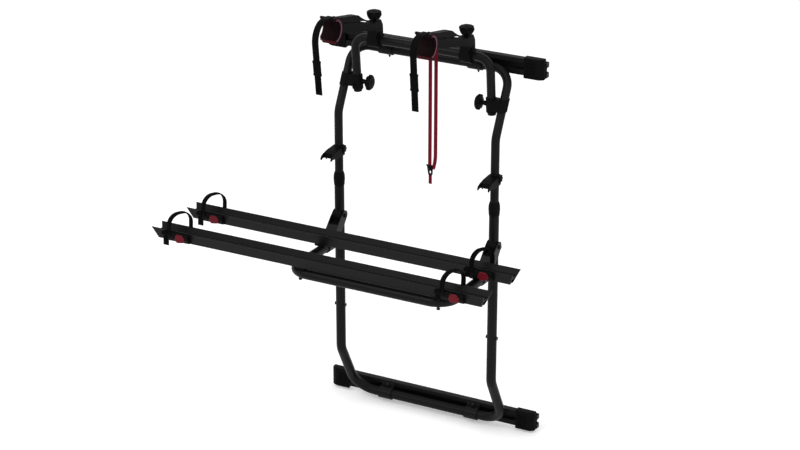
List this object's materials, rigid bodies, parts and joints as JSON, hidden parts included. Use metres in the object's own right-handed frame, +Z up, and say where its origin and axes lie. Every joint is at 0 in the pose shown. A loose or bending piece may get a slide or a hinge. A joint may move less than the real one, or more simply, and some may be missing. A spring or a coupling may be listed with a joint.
{
  "type": "rear door bike carrier",
  "caption": "Van rear door bike carrier: telescoping tube frame on two clamped rails, folding platform with wheel gutters and straps, tilting arms with padded jaws.",
  "frame": {"origin": "middle of the lower rail's back face, where its rubber strip meets the door", "axes": "+X to the right along the door as seen from behind the vehicle, +Y towards the vehicle, +Z up"},
  "size_m": [1.28, 0.5925, 1.6269],
  "materials": {
    "black_tube": "satin black powder coat on drawn tube",
    "black_rail": "satin black powder coat on an extrusion",
    "black_bracket": "satin black paint",
    "dark_steel": "blackened fasteners",
    "black_plastic": "fine moulded grain",
    "pad_rubber": "matt",
    "strap_rubber": "matt",
    "red_rubber": "matt",
    "red_plastic": "gloss",
    "red_webbing": "woven"
  },
  "bodies": {
    "lower_frame": {"lower_frame_tube": "black_tube", "lower_rail": "black_rail", "lower_rail_pad": "pad_rubber", "lower_rail_caps": "black_plastic", "lower_tube_clamps": "black_bracket", "lower_clamp_screws": "dark_steel", "collar_left": "black_plastic", "collar_right": "black_plastic", "leg_bolts": "dark_steel", "pivot_caps": "black_plastic"},
    "upper_frame": {"upper_frame_tube": "black_tube", "upper_rail": "black_rail", "upper_rail_pad": "pad_rubber", "upper_rail_caps": "black_plastic", "upper_tube_clamps": "black_bracket", "upper_clamp_screws": "dark_steel", "frame_clamp_left": "black_plastic", "frame_clamp_right": "black_plastic", "parking_clip_left": "black_plastic", "parking_clip_right": "black_plastic", "clip_screws": "dark_steel"},
    "front_hoop": {"front_hoop_tube": "black_tube"},
    "platform": {"platform_tube": "black_tube", "platform_strut_left": "black_bracket", "platform_strut_right": "black_bracket", "bike_rail_pads": "black_plastic", "bike_rail_bolts": "dark_steel"},
    "door_hook_lower_left": {"door_hook_lower_left": "black_bracket"},
    "door_hook_lower_right": {"door_hook_lower_right": "black_bracket"},
    "door_hook_upper_left": {"door_hook_upper_left": "black_bracket"},
    "door_hook_upper_right": {"door_hook_upper_right": "black_bracket"},
    "rear_bike_rail": {"rear_bike_rail": "black_rail", "rear_buckle_housings": "black_plastic", "wheel_strap_rear_left": "strap_rubber", "wheel_strap_rear_right": "strap_rubber"},
    "release_button_rear_left": {"release_button_rear_left": "red_plastic"},
    "release_button_rear_right": {"release_button_rear_right": "red_plastic"},
    "front_bike_rail": {"front_bike_rail": "black_rail", "front_buckle_housings": "black_plastic", "wheel_strap_front_left": "strap_rubber", "wheel_strap_front_right": "strap_rubber"},
    "release_button_front_left": {"release_button_front_left": "red_plastic"},
    "release_button_front_right": {"release_button_front_right": "red_plastic"},
    "frame_knob_left": {"frame_knob_left": "black_plastic"},
    "arm_liner_left": {"arm_liner_left": "black_plastic"},
    "bike_arm_left": {"bike_arm_left": "black_plastic", "jaw_lining_left": "red_rubber", "jaw_strap_left": "strap_rubber"},
    "jaw_lever_left": {"jaw_lever_left": "black_plastic"},
    "arm_knob_left": {"arm_knob_left": "black_plastic"},
    "frame_knob_right": {"frame_knob_right": "black_plastic"},
    "arm_liner_right": {"arm_liner_right": "black_plastic"},
    "bike_arm_right": {"bike_arm_right": "black_plastic", "jaw_lining_right": "red_rubber", "jaw_strap_right": "strap_rubber", "webbing_strands": "red_webbing", "webbing_buckle": "black_plastic"},
    "jaw_lever_right": {"jaw_lever_right": "black_plastic"},
    "arm_knob_right": {"arm_knob_right": "black_plastic"}
  },
  "joints": [
    {"name": "frame_height", "type": "slide", "parent": "lower_frame", "child": "upper_frame", "axis": [0, 0, 1], "range_m": [0, 0.03]},
    {"name": "platform_fold", "type": "hinge", "parent": "lower_frame", "child": "platform", "pos_m": [0, -0.16, 0.732], "axis": [-1, 0, 0], "range_deg": [0, 85.5], "deforming": ["wheel_strap_rear_right", "wheel_strap_front_right", "webbing_strands", "webbing_buckle"]},
    {"name": "door_hook_lower_left_slide", "type": "slide", "parent": "lower_frame", "child": "door_hook_lower_left", "axis": [-1, 0, 0], "range_m": [0, 0.03]},
    {"name": "door_hook_lower_right_slide", "type": "slide", "parent": "lower_frame", "child": "door_hook_lower_right", "axis": [1, 0, 0], "range_m": [0, 0.03]},
    {"name": "door_hook_upper_left_slide", "type": "slide", "parent": "upper_frame", "child": "door_hook_upper_left", "axis": [-1, 0, 0], "range_m": [0, 0.03]},
    {"name": "door_hook_upper_right_slide", "type": "slide", "parent": "upper_frame", "child": "door_hook_upper_right", "axis": [1, 0, 0], "range_m": [0, 0.03]},
    {"name": "rear_rail_slide", "type": "slide", "parent": "platform", "child": "rear_bike_rail", "axis": [1, 0, 0], "range_m": [-0.05, 0.25]},
    {"name": "release_button_rear_left_press", "type": "slide", "parent": "rear_bike_rail", "child": "release_button_rear_left", "axis": [0, 0.9972, -0.0743], "range_m": [0, 0.003], "stiffness_N_per_m": 600, "springref_m": -0.002},
    {"name": "release_button_rear_right_press", "type": "slide", "parent": "rear_bike_rail", "child": "release_button_rear_right", "axis": [0, 0.9972, -0.0743], "range_m": [0, 0.003], "stiffness_N_per_m": 600, "springref_m": -0.002},
    {"name": "front_rail_slide", "type": "slide", "parent": "platform", "child": "front_bike_rail", "axis": [1, 0, 0], "range_m": [-0.05, 0.25]},
    {"name": "release_button_front_left_press", "type": "slide", "parent": "front_bike_rail", "child": "release_button_front_left", "axis": [0, 0.9972, -0.0743], "range_m": [0, 0.003], "stiffness_N_per_m": 600, "springref_m": -0.002},
    {"name": "release_button_front_right_press", "type": "slide", "parent": "front_bike_rail", "child": "release_button_front_right", "axis": [0, 0.9972, -0.0743], "range_m": [0, 0.003], "stiffness_N_per_m": 600, "springref_m": -0.002},
    {"name": "front_hoop_slide", "type": "slide", "parent": "upper_frame", "child": "front_hoop", "axis": [0, -0.1009, 0.9949], "range_m": [-0.05, 0]},
    {"name": "frame_knob_left_turn", "type": "hinge", "parent": "upper_frame", "child": "frame_knob_left", "pos_m": [-0.225, -0.098, 1.226], "axis": [1, 0, 0], "continuous": true},
    {"name": "arm_left_slide", "type": "slide", "parent": "front_hoop", "child": "arm_liner_left", "axis": [1, 0, 0], "range_m": [-0.008, 0.1]},
    {"name": "arm_left_tilt", "type": "hinge", "parent": "arm_liner_left", "child": "bike_arm_left", "pos_m": [-0.176, -0.117, 1.396], "axis": [-1, 0, 0], "range_deg": [-10, 30]},
    {"name": "jaw_lever_left_lift", "type": "hinge", "parent": "bike_arm_left", "child": "jaw_lever_left", "pos_m": [-0.176, -0.387, 1.55], "axis": [1, 0, 0], "range_deg": [0, 60]},
    {"name": "arm_knob_left_turn", "type": "hinge", "parent": "bike_arm_left", "child": "arm_knob_left", "pos_m": [-0.176, -0.126, 1.471], "axis": [0, 0, 1], "continuous": true},
    {"name": "frame_knob_right_turn", "type": "hinge", "parent": "upper_frame", "child": "frame_knob_right", "pos_m": [0.225, -0.098, 1.226], "axis": [-1, 0, 0], "continuous": true},
    {"name": "arm_right_slide", "type": "slide", "parent": "front_hoop", "child": "arm_liner_right", "axis": [1, 0, 0], "range_m": [-0.1, 0.012]},
    {"name": "arm_right_tilt", "type": "hinge", "parent": "arm_liner_right", "child": "bike_arm_right", "pos_m": [0.172, -0.117, 1.396], "axis": [-1, 0, 0], "range_deg": [-10, 30]},
    {"name": "jaw_lever_right_lift", "type": "hinge", "parent": "bike_arm_right", "child": "jaw_lever_right", "pos_m": [0.172, -0.387, 1.55], "axis": [1, 0, 0], "range_deg": [0, 60]},
    {"name": "arm_knob_right_turn", "type": "hinge", "parent": "bike_arm_right", "child": "arm_knob_right", "pos_m": [0.172, -0.126, 1.471], "axis": [0, 0, 1], "continuous": true}
  ]
}
